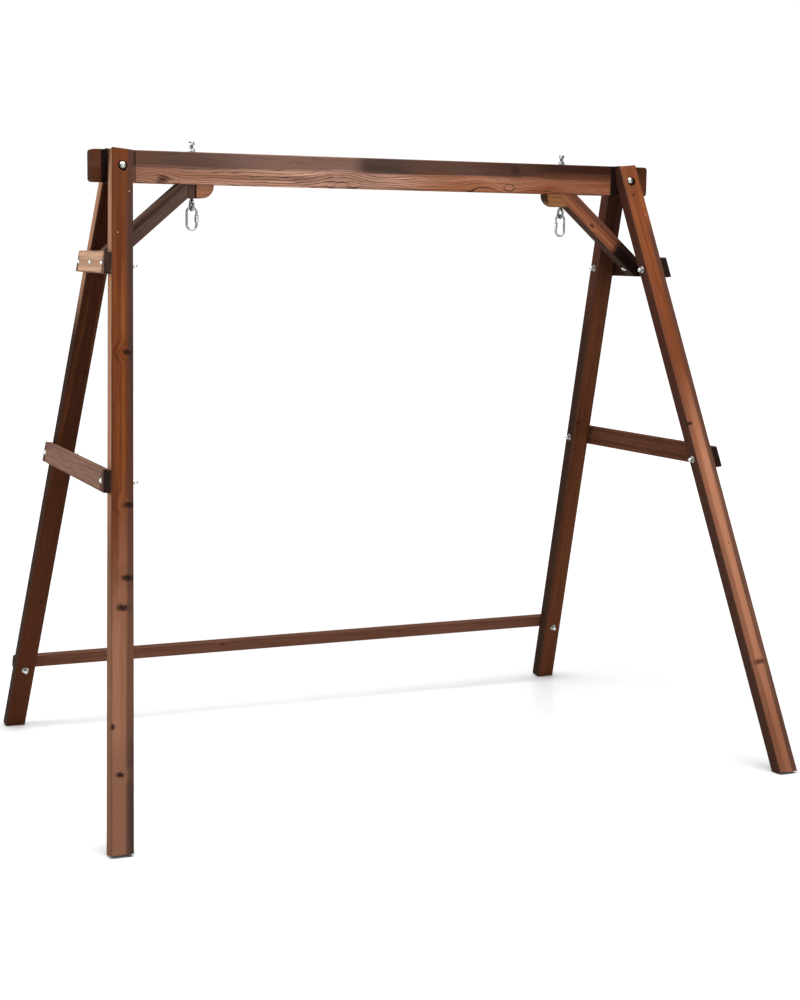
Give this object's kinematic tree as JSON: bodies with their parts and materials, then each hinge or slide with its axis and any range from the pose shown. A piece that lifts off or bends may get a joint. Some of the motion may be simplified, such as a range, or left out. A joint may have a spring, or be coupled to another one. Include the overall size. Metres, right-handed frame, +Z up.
{
  "type": "porch swing stand",
  "caption": "Free-standing wooden A-frame stand with a top beam and hanging quick links, for a porch swing or bench seat",
  "frame": {"origin": "on the ground, under the middle of the beam", "axes": "+X along the beam to the right, +Y to the back (the side with the low rail), +Z up"},
  "size_m": [2.0866, 1.4387, 1.816],
  "materials": {
    "beam_wood": "carbonised fir, satin stain",
    "leg_wood": "carbonised fir, satin stain",
    "brace_wood": "carbonised fir, satin stain",
    "rail_wood": "carbonised fir, satin stain",
    "strut_wood": "carbonised fir, satin stain",
    "block_wood": "carbonised fir, satin stain",
    "link_steel": "bright zinc plate",
    "eye_steel": "bright zinc plate",
    "zinc_steel": "bright zinc plate"
  },
  "bodies": {
    "frame": {"back_leg_left": "leg_wood", "back_leg_right": "leg_wood", "back_rail": "rail_wood", "brace_bolts": "zinc_steel", "brace_cap_nuts": "zinc_steel", "brace_washers": "zinc_steel", "eye_bolt_cap_nuts": "eye_steel", "eye_bolt_left": "eye_steel", "eye_bolt_nuts": "eye_steel", "eye_bolt_right": "eye_steel", "eye_bolt_washers": "eye_steel", "front_leg_left": "leg_wood", "front_leg_right": "leg_wood", "knee_block_left": "block_wood", "knee_block_right": "block_wood", "knee_strut_left": "strut_wood", "knee_strut_right": "strut_wood", "middle_brace_left": "brace_wood", "middle_brace_right": "brace_wood", "rail_bolts": "zinc_steel", "rail_cap_nuts": "zinc_steel", "rail_washers": "zinc_steel", "strut_bolts": "zinc_steel", "strut_cap_nuts": "zinc_steel", "strut_washers": "zinc_steel", "top_beam": "beam_wood", "top_bolt_cap_nuts": "zinc_steel", "top_bolt_washers": "zinc_steel", "top_bolts": "zinc_steel", "upper_brace_left": "brace_wood", "upper_brace_right": "brace_wood"},
    "link_left": {"quick_link_left": "link_steel"},
    "sleeve_left": {"quick_link_sleeve_left": "link_steel"},
    "link_right": {"quick_link_right": "link_steel"},
    "sleeve_right": {"quick_link_sleeve_right": "link_steel"}
  },
  "joints": [
    {"name": "link_left_swing", "type": "hinge", "parent": "frame", "child": "link_left", "pos_m": [-0.595, 0, 1.6367], "axis": [1, 0, 0], "range_deg": [-80, 80]},
    {"name": "link_right_swing", "type": "hinge", "parent": "frame", "child": "link_right", "pos_m": [0.595, 0, 1.6367], "axis": [1, 0, 0], "range_deg": [-80, 80]},
    {"name": "sleeve_left_slide", "type": "slide", "parent": "link_left", "child": "sleeve_left", "axis": [0, 0, 1], "range_m": [0, 0.0065]},
    {"name": "sleeve_right_slide", "type": "slide", "parent": "link_right", "child": "sleeve_right", "axis": [0, 0, 1], "range_m": [0, 0.0065]}
  ]
}
